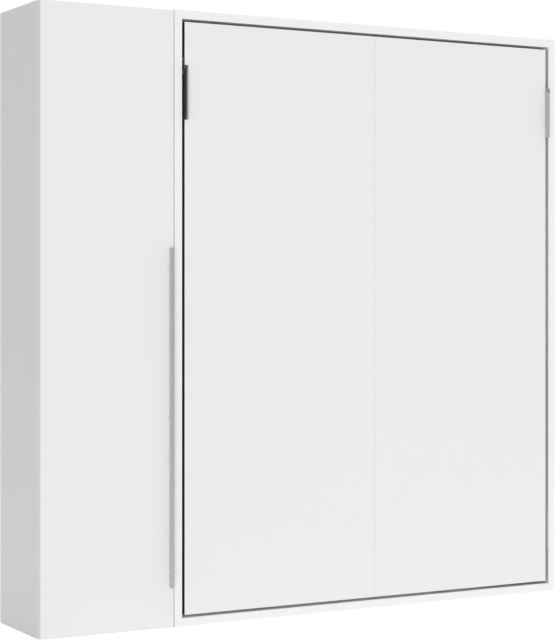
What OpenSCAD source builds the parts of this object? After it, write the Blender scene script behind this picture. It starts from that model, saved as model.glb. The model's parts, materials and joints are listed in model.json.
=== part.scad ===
// Wall bed in a cabinet, with a tall closet on its left and a fold-down desk on its right side.
// Millimetres, +Z up. The front faces -Y and the back stands against the wall.
// Inside the modules x runs from the closet's left face, y from the closet door's front face
// and z from the floor. u is measured across the bed cabinet from its centre line.

/* [Cabinet] */
// Height of the whole unit
unit_h = 2200; // [2120:10:2360]
// Depth from the door's front face to the wall
unit_d = 391; // [385:1:450]
// Outer width of the bed cabinet
bed_w = 1686; // [1490:2:1990]
// Thickness of the bed cabinet's boards
frame_t = 30; // [25:1:36]
// Thickness of the two rails that are fixed to the wall
wall_rail_t = 18; // [16:1:22]
// Height of the two rails that are fixed to the wall
wall_rail_h = 150; // [110:5:180]
// Diameter of the wall screw holes
wall_hole_d = 8; // [6:0.5:12]

/* [Closet] */
// Outer width of the closet
closet_w = 509; // [420:1:700]
// Thickness of the closet's boards
closet_t = 18; // [16:1:22]
// Thickness of the closet's back panel
closet_back_t = 5; // [3:0.5:8]
// Height of the top of the fixed shelf
fixed_shelf_z = 1046; // [900:2:1200]
// Adjustable shelves above the fixed one, and as many below
shelves_each = 2; // [1:1:3]
// Diameter of a shelf pin
shelf_pin_d = 5; // [4:0.5:7]
// Spacing of the shelf pin holes
pin_pitch = 32; // [25:1:40]

/* [Closet door] */
// Thickness of the door
door_t = 35; // [25:1:38]
// Space between the door's back and the closet's front edges
door_gap = 3; // [2.5:0.5:4]
// How far the door stops short of the unit's top and bottom
door_reveal = 3; // [2:0.5:6]
// Space between the door and the bed cabinet
door_side_gap = 2.5; // [2:0.5:5]
// Number of concealed hinges
hinge_count = 5; // [3:1:6]
// Diameter of a hinge cup
hinge_cup_d = 35; // [26:1:40]

/* [Door handle] */
// Length of the handle bar
handle_len = 1205; // [800:5:1500]
// Height of the handle bar's lower end
handle_z = 146; // [100:2:300]
// Width of the handle bar
handle_w = 15; // [10:0.5:24]
// Depth of the handle bar
handle_d = 12; // [8:0.5:20]
// Clear space between handle bar and door
handle_stand = 25; // [20:1:40]
// From the door's right edge to the handle bar
handle_inset = 14; // [5:1:30]

/* [Bed front] */
// Gap between the bed front and the cabinet's boards
front_gap = 10; // [8:0.5:14]
// Thickness of the bed front
front_t = 22; // [18:1:24]
// How far the bed front sits behind the cabinet's front edges
front_setback = 3.5; // [2:0.5:5]
// Width of the seam between the two front boards
seam_w = 0.6; // [0.4:0.2:3]
// Thickness of the dark strips on the outer edges of the bed front
side_strip_t = 1; // [0.6:0.2:2]

/* [Bed frame] */
// Space for the mechanism between a side rail and the cabinet's side
mech_w = 43; // [40:1:55]
// Thickness of the rails
rail_t = 22; // [18:1:26]
// Depth of the rails behind the bed front
rail_d = 130; // [115:1:140]
// Distance of the slats behind the bed front
slat_back = 58; // [50:1:64]
// Number of slats
slat_count = 14; // [10:1:18]
// Width of a slat
slat_w = 68; // [50:1:80]
// Thickness of a slat
slat_t = 8; // [6:0.5:12]
// Rise of a slat's bow at its middle
slat_bow = 10; // [4:1:14]
// Width of the beam behind the seam
beam_w = 60; // [40:2:90]
// Diameter of the tube that stops the mattress
hoop_d = 16; // [12:1:18]

/* [Bed pivot] */
// Distance of the bed's pivot behind the door's front face
pivot_y = 40; // [39:0.5:46]
// Height of the bed's pivot
pivot_z = 236; // [232:1:250]
// Diameter of the pivot pin
pivot_pin_d = 16; // [12:0.5:18]
// Thickness of the steel plates of the mechanism
plate_t = 4; // [3:0.5:5]

/* [Gas struts] */
// Length of a strut between its studs with the bed closed
strut_len = 790; // [760:5:860]
// Distance of a strut's lower stud behind the pivot
strut_reach_y = 70; // [60:1:75]
// Distance of a strut's lower stud below the pivot
strut_reach_z = 90; // [85:1:98]
// Diameter of the strut's cylinder
cylinder_d = 28; // [22:1:30]
// Diameter of the strut's rod
rod_d = 12; // [8:0.5:14]
// Diameter of the strut's studs
stud_d = 10; // [8:0.5:11]

/* [Folding legs] */
// Depth of the steel bar that is a leg and a grip
leg_w = 20.5; // [16:0.5:24]
// Thickness of the leg bar
leg_t = 4.6; // [4:0.2:6]
// Distance of the leg's upper end below the unit's top
leg_drop = 197; // [150:1:300]
// Diameter of the leg's pin
leg_pin_d = 6; // [5:0.5:8]

/* [Desk] */
// Length of the desk leaf
desk_len = 898; // [820:2:980]
// Thickness of the desk leaf
desk_t = 22; // [18:1:25]
// Height of the desk's working surface
desk_h = 742; // [700:1:780]
// Setback of the desk from the unit's front
desk_setback = 60; // [57:1:110]
// Distance of the desk from the wall
desk_wall_gap = 7; // [4:1:30]
// Diameter of the desk leg's tube
desk_tube_d = 16; // [12:1:18]
// Height of the batten that carries the desk
ledger_h = 90; // [60:5:140]
// Number of knuckles of the desk hinge
knuckle_count = 9; // [5:2:15]

/* [Hidden] */
$fn = 48;
white = "whitesmoke";
steel = "silver";
dark = "dimgray";
timber = "burlywood";
plastic = "gray";

fit = 0.1;            // bore over shaft, on the diameter
rest_gap = 0.3;       // between a moving piece and its seat
ease = 0.8;           // eased edge of a front board

unit_w = closet_w + bed_w;

// Bed front and bed frame
front_y0 = front_setback;
front_y1 = front_setback + front_t;
front_half = bed_w/2 - frame_t - front_gap;
front_z0 = frame_t + front_gap;
front_z1 = unit_h - frame_t - front_gap;
side_in = bed_w/2 - frame_t;
rail_out = side_in - mech_w;
rail_in = rail_out - rail_t;
foot_margin = 48;
head_margin = 28;
rail_z0 = front_z0 + foot_margin;
rail_z1 = front_z1 - head_margin;
rail_y1 = front_y1 + rail_d;
rail_cut = 30;        // cut corners of the side rails
cross_y1 = rail_y1 - rail_cut;
slat_y = front_y1 + slat_back;
slat_end_gap = 3;
holder_len = 36;
holder_wall = 4;
slat_half = rail_in - slat_end_gap;
slat_margin = 70;
slat_z0 = rail_z0 + rail_t + slat_margin;
slat_z1 = rail_z1 - rail_t - slat_margin;
function slat_z(i) = slat_z0 + (slat_z1 - slat_z0)*i/(slat_count - 1);
beam_slat_gap = 1;
slat_steps = 12;
hoop_half = rail_in*0.55;
hoop_bend = 45;
hoop_sunk = 50;
hoop_rise = 110;
hoop_end_gap = 1;
hoop_y1 = rail_y1 + hoop_rise;
hoop_z = rail_z0 + rail_t/2;
angle_leg = 40;
angle_t = 3;
angle_h = 60;
angle_end = 60;
angle_count = 4;
stop_h = 40;
stop_t = 14;
stop_lap = 18;
stop_drop = 20;

// Mechanism, across the bed cabinet
arm_out = rail_out + plate_t;
plate_in = side_in - plate_t;
strut_u = (arm_out + plate_in)/2;
bush_wall = 5;
bush_d = pivot_pin_d + 2*bush_wall;
bush_out = arm_out + 18;
pin_flange_d = 40;
pin_flange_t = 3;
pin_end_gap = 1;
pivot_plate_edge = 5;
pivot_plate_below = 75;
pivot_plate_above = 95;
pivot_plate_back = 75;
pivot_plate_cut = 14;
arm_edge = 1;
arm_heel = 110;
arm_knee = 190;
arm_knee_w = 62;
arm_top = 390;
arm_top_w = 50;
arm_below = 36;
arm_behind = 28;
arm_rise = 60;
arm_cut = 14;

// Gas strut, at rest and with the bed open
stud_y = pivot_y + strut_reach_y;
stud_low_z = pivot_z - strut_reach_z;
stud_top_z = stud_low_z + strut_len;
open_low_y = pivot_y + strut_reach_z;
open_low_z = pivot_z + strut_reach_y;
strut_open = norm([open_low_y - stud_y, stud_top_z - open_low_z]);
strut_stroke = strut_len - strut_open;
strut_tilt = asin((open_low_y - stud_y)/strut_open);
echo(strut_stroke_m = strut_stroke/1000, slide_ratio = strut_stroke/1000/(PI/2));
echo(strut_tilt_deg = strut_tilt, tilt_ratio = strut_tilt/90);
eye_d = stud_d + 14;
eye_w = 16;
eye_neck = 8;
stud_step = 8;        // shoulder over stud, on the diameter
stud_end = 3;         // how far a stud passes its eye
anchor_half_w = 30;
anchor_half_h = 55;
anchor_cut = 10;
cylinder_wall = 2;
cylinder_top = stud_top_z - eye_d/2 - eye_neck;
rod_left_out = 34;
cylinder_low = stud_low_z + strut_stroke + eye_d/2 + rod_left_out;
gland_h = 16;
piston_h = 14;
piston_gap = 4;

// Folding legs
leg_y1 = 0;
leg_y0 = leg_y1 - leg_w;
leg_pin_y = (leg_y0 + leg_y1)/2;
leg_above = 8;
leg_pin_z = unit_h - leg_drop - leg_above;
leg_len = pivot_z + leg_pin_y - pivot_y;
leg_u1 = front_half - rest_gap;
leg_u0 = leg_u1 - leg_t;
leg_plate_t = 3;
leg_head_d = leg_pin_d + 4;
leg_head_t = 1.5;
lug_setback = 2;
bracket_below = 24;
bracket_above = 44;
magnet_h = 18;
magnet_up = 30;
magnet_lap = 3;
echo(leg_pin = [leg_pin_y, leg_pin_z], leg_len = leg_len);

// Closet
carcass_y = door_t + door_gap;
closet_in0 = closet_t;
closet_in1 = closet_w - closet_t;
closet_y1 = unit_d - closet_back_t;
shelf_inset = 20;
shelf_play = 1;
lower_step = (fixed_shelf_z - closet_t - closet_t)/(shelves_each + 1);
upper_step = (unit_h - closet_t - fixed_shelf_z)/(shelves_each + 1);
shelf_tops = [for (i = [1:shelves_each]) each [closet_t + i*lower_step, fixed_shelf_z + i*upper_step]];
pin_len = 9;
pin_sunk = 8;
pin_columns = [carcass_y + shelf_inset + 40, closet_y1 - 50];

// Closet door
door_w = closet_w - door_side_gap;
door_z0 = door_reveal;
door_z1 = unit_h - door_reveal;
hinge_cup_x = hinge_cup_d/2 + 4.5;
hinge_cup_depth = 12.5;
hinge_end = 100;
cup_wall = 1.5;
cup_flange_t = 1.2;
cup_flange_w = 22;
cup_flange_h = hinge_cup_d + 26;
arm_plate_t = 5;
arm_plate_h = 44;
arm_plate_d = 36;
arm_w = 14;
arm_t = 9;
arm_lift = 3;         // between mounting plate and arm
arm_tail = 8;
arm_y0 = carcass_y + 1;
arm_plate_y = carcass_y + 28;
bumper_d = 10;
bumper_end = 60;
function hinge_z(i) = door_z0 + hinge_end + (door_z1 - door_z0 - 2*hinge_end)*i/(hinge_count - 1);
handle_x1 = door_w - handle_inset;
handle_x0 = handle_x1 - handle_w;
post_d = 9;
bar_cut = 1.2;        // cut corners of the handle bar
post_end = 60;
post_zs = [handle_z + post_end, handle_z + handle_len/2, handle_z + handle_len - post_end];

// Desk. s is measured outwards from the unit's right side
desk_y0 = desk_setback;
desk_y1 = unit_d - desk_wall_gap;
leaf_gap = 2;
ledger_t = desk_t + leaf_gap;
knuckle_r = 3;
hinge_pin_d = 3;
sheet_t = 1.2;
sheet_h = 30;
axis_s = ledger_t + knuckle_r + rest_gap;
sheet_gap = knuckle_r + 0.3;
knuckle_tab = 4;
axis_z = desk_h - (axis_s - leaf_gap);
ledger_z1 = axis_z - 1;
leaf_z0 = axis_z + 1;
leaf_z1 = leaf_z0 + desk_len;
knuckle_play = 0.3;
knuckle_len = (desk_y1 - desk_y0)/knuckle_count;
tube_s = ledger_t + 0.5 + desk_tube_d/2;
tube_end = 30;
tube_top_z = leaf_z1 - tube_end;
tube_drop = axis_z - (tube_s - axis_s) - desk_tube_d/2;
tube_low_z = tube_top_z - tube_drop;
tube_margin = 28;
tube_y0 = desk_y0 + tube_margin;
tube_y1 = desk_y1 - tube_margin;
tube_bend = 30;
saddle_d = desk_tube_d + 6;
saddle_w = 18;
saddle_in = 40;
saddle_ear = 14;
saddle_plate_t = 2.5;
cradle_half = 20;
cradle_lip = 5;
desk_out = tube_s + saddle_d/2;
catch_gap = 1.5;
strike_t = 1;
strike_half = 16;
strike_in = 4;
catch_half = 22;
catch_h = 15;
catch_out = ledger_t - 3;
echo(desk_axis = [axis_s, axis_z], desk_leg_axis = [tube_s, tube_top_z]);

// Joining of the two cabinets
bolt_d = 6;
bolt_head_d = 14;
bolt_head_t = 3;
bolt_y = unit_d - 90;
function lower_bay(i) = closet_t/2 + (i + 0.5)*lower_step;
function upper_bay(i) = fixed_shelf_z - closet_t/2 + (i + 0.5)*upper_step;
bolt_zs = [lower_bay(0), lower_bay(shelves_each), upper_bay(0), upper_bay(shelves_each)];

// Wall fixing
wall_hole_in = 130;
wall_hole_x = side_in - wall_hole_in;
rail_low_z = frame_t + wall_rail_h/2;
rail_top_z = unit_h - frame_t - wall_rail_h/2;

// The origin is under the middle of the unit's overall box
mid_x = (unit_w + desk_out)/2;
mid_y = (unit_d - handle_stand - handle_d)/2;
echo(origin = [mid_x, mid_y], bed_centre_x = closet_w + bed_w/2 - mid_x, desk_side_x = unit_w - mid_x);
echo(wall_holes = [2*wall_hole_x, rail_top_z - rail_low_z, (rail_top_z + rail_low_z)/2]);

// ---- Helpers ----

// Moves a piece from the unit's corner to the origin under its middle
module in_unit() { translate([-mid_x, -mid_y, 0]) children(); }

// As in_unit, with x measured from the bed cabinet's centre line
module in_bed() { in_unit() translate([closet_w + bed_w/2, 0, 0]) children(); }

// As in_unit, with x measured outwards from the right side
module in_desk() { in_unit() translate([unit_w, 0, 0]) children(); }

// A box from one corner to the other
module block(low, high) { translate(low) cube(high - low); }

// Both sides of the bed cabinet
module both_sides() {
    children();
    mirror([1, 0, 0]) children();
}

// A profile drawn in y and z, from x0 to x1
module across(x0, x1) {
    translate([x0, 0, 0]) rotate([90, 0, 90]) linear_extrude(x1 - x0) children();
}

// A round bar along x, y or z
module bar_x(x0, x1, y, z, d) { translate([x0, y, z]) rotate([0, 90, 0]) cylinder(h = x1 - x0, d = d); }
module bar_y(y0, y1, x, z, d) { translate([x, y0, z]) rotate([-90, 0, 0]) cylinder(h = y1 - y0, d = d); }
module bar_z(z0, z1, x, y, d) { translate([x, y, z0]) cylinder(h = z1 - z0, d = d); }

// A board whose front edges are eased
module eased_board(low, high, c = ease) {
    intersection() {
        translate([0, 0, low.z]) linear_extrude(high.z - low.z)
            polygon([[low.x, low.y + c], [low.x + c, low.y], [high.x - c, low.y],
                     [high.x, low.y + c], [high.x, high.y], [low.x, high.y]]);
        across(low.x, high.x)
            polygon([[low.y + c, low.z], [high.y, low.z], [high.y, high.z],
                     [low.y + c, high.z], [low.y, high.z - c], [low.y, low.z + c]]);
    }
}

// A rectangle from y0,z0 to y1,z1 with its corners cut off
module cut_rect(y0, z0, y1, z1, c) {
    polygon([[y0 + c, z0], [y1 - c, z0], [y1, z0 + c], [y1, z1 - c],
             [y1 - c, z1], [y0 + c, z1], [y0, z1 - c], [y0, z0 + c]]);
}

// ---- Closet ----

// Holes for the shelf pins, three at each pin
module pin_holes(x0, x1) {
    for (top = shelf_tops, y = pin_columns, step = [-1:1])
        bar_x(x0, x1, y, top - closet_t - shelf_pin_d/2 + step*pin_pitch, shelf_pin_d + fit);
}

module closet_side_left() {
    color(white) in_unit() difference() {
        block([0, carcass_y, 0], [closet_in0, unit_d, unit_h]);
        pin_holes(closet_in0 - pin_sunk - fit, closet_in0 + 1);
    }
}

module closet_side_right() {
    color(white) in_unit() difference() {
        block([closet_in1, carcass_y, 0], [closet_w, unit_d, unit_h]);
        pin_holes(closet_in1 - 1, closet_in1 + pin_sunk + fit);
        for (z = bolt_zs) bar_x(closet_in1 - 1, closet_w + 1, bolt_y, z, bolt_d + fit);
    }
}

module closet_top() {
    color(white) in_unit()
        block([closet_in0, carcass_y, unit_h - closet_t], [closet_in1, closet_y1, unit_h]);
}

module closet_base() {
    color(white) in_unit() block([closet_in0, carcass_y, 0], [closet_in1, closet_y1, closet_t]);
}

module closet_back() {
    color(white) in_unit() block([closet_in0, closet_y1, 0], [closet_in1, unit_d, unit_h]);
}

module fixed_shelf() {
    color(white) in_unit()
        block([closet_in0, carcass_y + shelf_inset, fixed_shelf_z - closet_t],
              [closet_in1, closet_y1, fixed_shelf_z]);
}

module adjustable_shelves() {
    color(white) in_unit() for (top = shelf_tops)
        block([closet_in0 + shelf_play, carcass_y + shelf_inset, top - closet_t],
              [closet_in1 - shelf_play, closet_y1 - shelf_play, top]);
}

// Each pin is sunk into its side and carries a shelf on its top
module shelf_pins() {
    color(steel) in_unit() for (top = shelf_tops, y = pin_columns) {
        z = top - closet_t - shelf_pin_d/2;
        bar_x(closet_in0 - pin_sunk, closet_in0 + pin_len, y, z, shelf_pin_d);
        bar_x(closet_in1 - pin_len, closet_in1 + pin_sunk, y, z, shelf_pin_d);
    }
}

// Mounting plate and arm of each concealed hinge, on the closet's left side
module hinge_arms() {
    under = arm_plate_t + arm_lift;
    over = under + arm_t;
    end = arm_plate_y + arm_plate_d + arm_tail;
    wall = 2;
    color(steel) in_unit() for (i = [0:hinge_count - 1]) translate([closet_in0, 0, hinge_z(i)])
        difference() {
            union() {
                across(0, arm_plate_t)
                    cut_rect(arm_plate_y, -arm_plate_h/2,
                             arm_plate_y + arm_plate_d, arm_plate_h/2, arm_plate_t);
                translate([0, 0, -arm_w/2]) linear_extrude(arm_w)
                    polygon([[arm_plate_t - wall/2, arm_plate_y + arm_lift], [under, arm_plate_y - arm_t],
                             [under, arm_y0], [over, arm_y0], [over, arm_plate_y + arm_plate_d/2],
                             [over - arm_lift - wall, end], [arm_plate_t - wall/2, end]]);
            }
            translate([under + wall, arm_plate_y + arm_t, -arm_w/2 + wall])
                cube([arm_t, arm_plate_d/2, arm_w - 2*wall]);
        }
}

// Bolts that hold the closet and the bed cabinet together
module joining_bolts() {
    color(steel) in_unit() for (z = bolt_zs) {
        bar_x(closet_in1 - bolt_head_t, closet_w + frame_t + bolt_head_t, bolt_y, z, bolt_d);
        bar_x(closet_in1 - bolt_head_t, closet_in1, bolt_y, z, bolt_head_d);
        bar_x(closet_w + frame_t, closet_w + frame_t + bolt_head_t, bolt_y, z, bolt_head_d);
    }
}

// ---- Closet door ----

module closet_door() {
    color(white) in_unit() difference() {
        eased_board([0, 0, door_z0], [door_w, door_t, door_z1]);
        for (i = [0:hinge_count - 1])
            bar_y(door_t - hinge_cup_depth - fit, door_t + 1, hinge_cup_x, hinge_z(i), hinge_cup_d + fit);
    }
}

// Hinge cups sunk into the door's back, each with its flange
module hinge_cups() {
    y0 = door_t - hinge_cup_depth;
    y1 = door_t + cup_flange_t;
    color(steel) in_unit() for (i = [0:hinge_count - 1]) translate([hinge_cup_x, 0, hinge_z(i)])
        difference() {
            union() {
                bar_y(y0, y1, 0, 0, hinge_cup_d);
                translate([0, y1, 0]) rotate([90, 0, 0]) linear_extrude(cup_flange_t)
                    cut_rect(-cup_flange_w/2, -cup_flange_h/2,
                             cup_flange_w/2, cup_flange_h/2, cup_flange_w/4);
            }
            bar_y(y0 + cup_wall, y1 + 1, 0, 0, hinge_cup_d - 2*cup_wall);
        }
}

module door_bumpers() {
    color(plastic) in_unit() for (z = [door_z0 + bumper_end, unit_h/2, door_z1 - bumper_end])
        bar_y(door_t, door_t + door_gap - rest_gap, closet_w - closet_t/2, z, bumper_d);
}

module handle_bar() {
    color(steel) in_unit()
        translate([0, 0, handle_z]) linear_extrude(handle_len)
            translate([handle_x0, -handle_stand - handle_d]) cut_rect(0, 0, handle_w, handle_d, bar_cut);
}

module handle_posts() {
    color(steel) in_unit() for (z = post_zs)
        bar_y(-handle_stand, 0, handle_x0 + handle_w/2, z, post_d);
}

// ---- Bed cabinet ----

module frame_side_left() {
    color(white) in_bed() difference() {
        block([-bed_w/2, 0, 0], [-side_in, unit_d, unit_h]);
        for (z = bolt_zs) bar_x(-bed_w/2 - 1, -side_in + 1, bolt_y, z, bolt_d + fit);
    }
}

module frame_side_right() {
    color(white) in_bed() block([side_in, 0, 0], [bed_w/2, unit_d, unit_h]);
}

module frame_top() {
    color(white) in_bed() block([-side_in, 0, unit_h - frame_t], [side_in, unit_d, unit_h]);
}

module frame_base() {
    color(white) in_bed() block([-side_in, 0, 0], [side_in, unit_d, frame_t]);
}

// A rail against the wall with two screw holes
module wall_rail(z_mid) {
    difference() {
        block([-side_in, unit_d - wall_rail_t, z_mid - wall_rail_h/2],
              [side_in, unit_d, z_mid + wall_rail_h/2]);
        for (x = [-wall_hole_x, wall_hole_x])
            bar_y(unit_d - wall_rail_t - 1, unit_d + 1, x, z_mid, wall_hole_d);
    }
}

module wall_rail_upper() { color(white) in_bed() wall_rail(rail_top_z); }

module wall_rail_lower() { color(white) in_bed() wall_rail(rail_low_z); }

module pivot_plates() {
    color(dark) in_bed() both_sides() across(plate_in, side_in)
        cut_rect(front_y0 + pivot_plate_edge, pivot_z - pivot_plate_below,
                 pivot_y + pivot_plate_back, pivot_z + pivot_plate_above, pivot_plate_cut);
}

// Stepped pin: flange on the plate, shoulder beside the bush, then the shaft
module pivot_pins() {
    color(steel) in_bed() both_sides() {
        bar_x(arm_out + pin_end_gap, plate_in, pivot_y, pivot_z, pivot_pin_d);
        bar_x(bush_out + rest_gap, plate_in, pivot_y, pivot_z, bush_d);
        bar_x(plate_in - pin_flange_t, plate_in, pivot_y, pivot_z, pin_flange_d);
    }
}

// Plates with the upper studs of the gas struts
module strut_anchors() {
    color(dark) in_bed() both_sides() {
        across(plate_in, side_in)
            cut_rect(stud_y - anchor_half_w, stud_top_z - anchor_half_h,
                     stud_y + anchor_half_w, stud_top_z + anchor_half_h, anchor_cut);
        bar_x(strut_u + eye_w/2 + rest_gap, plate_in, stud_y, stud_top_z, stud_d + stud_step);
        bar_x(strut_u - eye_w/2 - stud_end, plate_in, stud_y, stud_top_z, stud_d);
    }
}

// The closed bed front stops against these
module stop_blocks() {
    color(plastic) in_bed() both_sides()
        block([front_half - stop_lap, front_y1 + rest_gap, front_z1 - stop_drop - stop_h],
              [side_in, front_y1 + rest_gap + stop_t, front_z1 - stop_drop]);
}

// ---- Bed ----

module front_board_left() {
    color(white) in_bed()
        eased_board([side_strip_t - front_half, front_y0, front_z0], [-seam_w/2, front_y1, front_z1]);
}

module front_board_right() {
    color(white) in_bed()
        eased_board([seam_w/2, front_y0, front_z0], [front_half - side_strip_t, front_y1, front_z1]);
}

// Dark strip that covers the outer edge of each front board
module front_side_strips() {
    color(dark) in_bed() both_sides()
        block([front_half - side_strip_t, front_y0 + ease, front_z0], [front_half, front_y1, front_z1]);
}

// A side rail with its lower back corner cut off, so that it swings clear of the floor board
module side_rail(u0, u1) {
    across(u0, u1)
        polygon([[front_y1, rail_z0], [cross_y1, rail_z0], [rail_y1, rail_z0 + rail_cut],
                 [rail_y1, rail_z1 - rail_cut], [cross_y1, rail_z1], [front_y1, rail_z1]]);
}

module side_rail_left() { color(timber) in_bed() side_rail(-rail_out, -rail_in); }

module side_rail_right() { color(timber) in_bed() side_rail(rail_in, rail_out); }

module head_rail() {
    color(timber) in_bed()
        block([-rail_in, front_y1, rail_z1 - rail_t], [rail_in, cross_y1, rail_z1]);
}

module foot_rail() {
    color(timber) in_bed() difference() {
        block([-rail_in, front_y1, rail_z0], [rail_in, cross_y1, rail_z0 + rail_t]);
        for (u = [-hoop_half, hoop_half])
            bar_y(cross_y1 - hoop_sunk, rail_y1, u, hoop_z, hoop_d + fit);
    }
}

// Bent tube that keeps the mattress from sliding down in the closed bed
module mattress_hoop() {
    color(steel) in_bed() translate([0, 0, hoop_z]) {
        both_sides() {
            bar_y(cross_y1 - hoop_sunk + hoop_end_gap, hoop_y1 - hoop_bend, hoop_half, 0, hoop_d);
            translate([hoop_half - hoop_bend, hoop_y1 - hoop_bend, 0])
                rotate_extrude(angle = 90) translate([hoop_bend, 0]) circle(d = hoop_d);
        }
        bar_x(-hoop_half + hoop_bend, hoop_half - hoop_bend, hoop_y1, 0, hoop_d);
    }
}

// Beam that joins the two front boards behind their seam
module centre_beam() {
    color(timber) in_bed()
        block([-beam_w/2, front_y1, rail_z0 + rail_t],
              [beam_w/2, slat_y + slat_bow - beam_slat_gap, rail_z1 - rail_t]);
}

// Bow of a slat at a distance u from the bed's centre line
function slat_rise(u) = slat_bow*(1 - pow(u/slat_half, 2));

module slats() {
    us = [for (i = [0:slat_steps]) -slat_half + 2*slat_half*i/slat_steps];
    color("wheat") in_bed() for (i = [0:slat_count - 1])
        translate([0, 0, slat_z(i) - slat_w/2]) linear_extrude(slat_w)
            polygon(concat([for (u = us) [u, slat_y + slat_rise(u)]],
                           [for (k = [slat_steps:-1:0]) [us[k], slat_y + slat_rise(us[k]) + slat_t]]));
}

// Cap on each end of a slat, screwed to the side rail
module slat_holders() {
    y1 = slat_y + slat_rise(rail_in - holder_len) + slat_t;
    hole = slat_w/2 + rest_gap;
    out = slat_w/2 + holder_wall;
    color(dark) in_bed() both_sides() for (i = [0:slat_count - 1]) translate([0, 0, slat_z(i)])
        difference() {
            block([rail_in - holder_len, slat_y - holder_wall, -out], [rail_in, y1 + holder_wall, out]);
            block([rail_in - holder_len - 1, slat_y - rest_gap, -hole],
                  [rail_in - slat_end_gap + rest_gap, y1 + rest_gap, hole]);
        }
}

// Steel plate on the outside of each side rail, from the lower strut stud up past the pivot
module arm_plates() {
    y0 = front_y1 + arm_edge;
    y1 = stud_y + arm_behind;
    low = stud_low_z - arm_below;
    top = pivot_z + arm_top;
    color(dark) in_bed() both_sides() across(rail_out, arm_out)
        polygon([[y0, pivot_z - arm_heel], [y0 + arm_cut, low], [y1 - arm_cut, low], [y1, low + arm_cut],
                 [y1, stud_low_z + arm_rise], [y0 + arm_knee_w, pivot_z + arm_knee],
                 [y0 + arm_top_w, top - arm_cut], [y0 + arm_top_w - arm_cut, top], [y0, top]]);
}

// Bearing tube that is seated on each arm plate and runs on the pivot pin
module pivot_bushes() {
    color("goldenrod") in_bed() both_sides() difference() {
        bar_x(arm_out, bush_out, pivot_y, pivot_z, bush_d);
        bar_x(arm_out - 1, bush_out + 1, pivot_y, pivot_z, pivot_pin_d + fit);
    }
}

// Angles that join the side rails to the front boards
module angle_brackets() {
    z0 = rail_z0 + rail_t + angle_end;
    z1 = rail_z1 - rail_t - angle_end - angle_h;
    color(steel) in_bed() both_sides() for (i = [0:angle_count - 1])
        translate([rail_in, front_y1, z0 + (z1 - z0)*i/(angle_count - 1)]) linear_extrude(angle_h)
            polygon([[0, 0], [-angle_leg, 0], [-angle_leg, angle_t], [-angle_t, angle_t],
                     [-angle_t, angle_leg], [0, angle_leg]]);
}

// Plate on the front's outer edge, with a lug that carries the leg's pin
module leg_brackets() {
    y0 = leg_y0 + lug_setback;
    y1 = front_y0 + lug_setback;
    color(dark) in_bed() both_sides() translate([0, 0, leg_pin_z]) difference() {
        across(front_half, front_half + leg_plate_t)
            polygon([[y0, -leg_above], [front_y0, -leg_above],
                     [y1, -bracket_below], [front_y1, -bracket_below],
                     [front_y1, bracket_above], [y1, bracket_above],
                     [y1, leg_above], [y0, leg_above]]);
        bar_x(front_half - 1, front_half + leg_plate_t + 1, leg_pin_y, 0, leg_pin_d + fit);
    }
}

// Headed pin of each leg
module leg_pins() {
    color(steel) in_bed() both_sides() {
        bar_x(leg_u0 - rest_gap - leg_head_t, front_half + leg_plate_t + leg_head_t,
              leg_pin_y, leg_pin_z, leg_pin_d);
        bar_x(leg_u0 - rest_gap - leg_head_t, leg_u0 - rest_gap, leg_pin_y, leg_pin_z, leg_head_d);
        bar_x(front_half + leg_plate_t, front_half + leg_plate_t + leg_head_t,
              leg_pin_y, leg_pin_z, leg_head_d);
    }
}

// Magnet that holds each folded leg
module leg_magnets() {
    z = leg_pin_z - leg_len + magnet_up;
    color(dark) in_bed() both_sides()
        block([leg_u0 - magnet_lap, leg_y1 + rest_gap, z - magnet_h/2],
              [front_half - side_strip_t - ease, front_y0, z + magnet_h/2]);
}

// Flat steel bar: grip of the closed bed, leg of the open one
module leg(side) {
    color(steel) in_bed() scale([side, 1, 1]) difference() {
        across(leg_u0, leg_u1) cut_rect(leg_y0, leg_pin_z - leg_len, leg_y1, leg_pin_z + leg_above, 1);
        bar_x(leg_u0 - 1, leg_u1 + 1, leg_pin_y, leg_pin_z, leg_pin_d + fit);
    }
}

module leg_left() { leg(-1); }

module leg_right() { leg(1); }

// ---- Gas struts ----

// Cylinder with its eye at the upper stud, a blind bore and a gland at its lower end
module strut_cylinder(side) {
    chamber_d = cylinder_d - 2*cylinder_wall;
    color(dark) in_bed() scale([side, 1, 1]) difference() {
        union() {
            bar_z(cylinder_low, cylinder_top, strut_u, stud_y, cylinder_d);
            bar_z(cylinder_top - 1, stud_top_z, strut_u, stud_y, eye_w - 2);
            bar_x(strut_u - eye_w/2, strut_u + eye_w/2, stud_y, stud_top_z, eye_d);
        }
        bar_x(strut_u - eye_w, strut_u + eye_w, stud_y, stud_top_z, stud_d + fit);
        bar_z(cylinder_low - 1, cylinder_top, strut_u, stud_y, rod_d + fit);
        bar_z(cylinder_low + gland_h, cylinder_top - gland_h, strut_u, stud_y, chamber_d);
    }
}

module strut_cylinder_left() { strut_cylinder(-1); }

module strut_cylinder_right() { strut_cylinder(1); }

// Rod with its piston in the cylinder and its eye at the lower stud
module strut_rod(side) {
    piston_z = cylinder_low + gland_h + piston_gap;
    color(steel) in_bed() scale([side, 1, 1]) difference() {
        union() {
            bar_z(stud_low_z, piston_z + piston_h, strut_u, stud_y, rod_d);
            bar_z(piston_z, piston_z + piston_h, strut_u, stud_y, cylinder_d - 2*cylinder_wall - fit);
            bar_x(strut_u - eye_w/2, strut_u + eye_w/2, stud_y, stud_low_z, eye_d);
        }
        bar_x(strut_u - eye_w, strut_u + eye_w, stud_y, stud_low_z, stud_d + fit);
    }
}

module strut_rod_left() { strut_rod(-1); }

module strut_rod_right() { strut_rod(1); }

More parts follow.
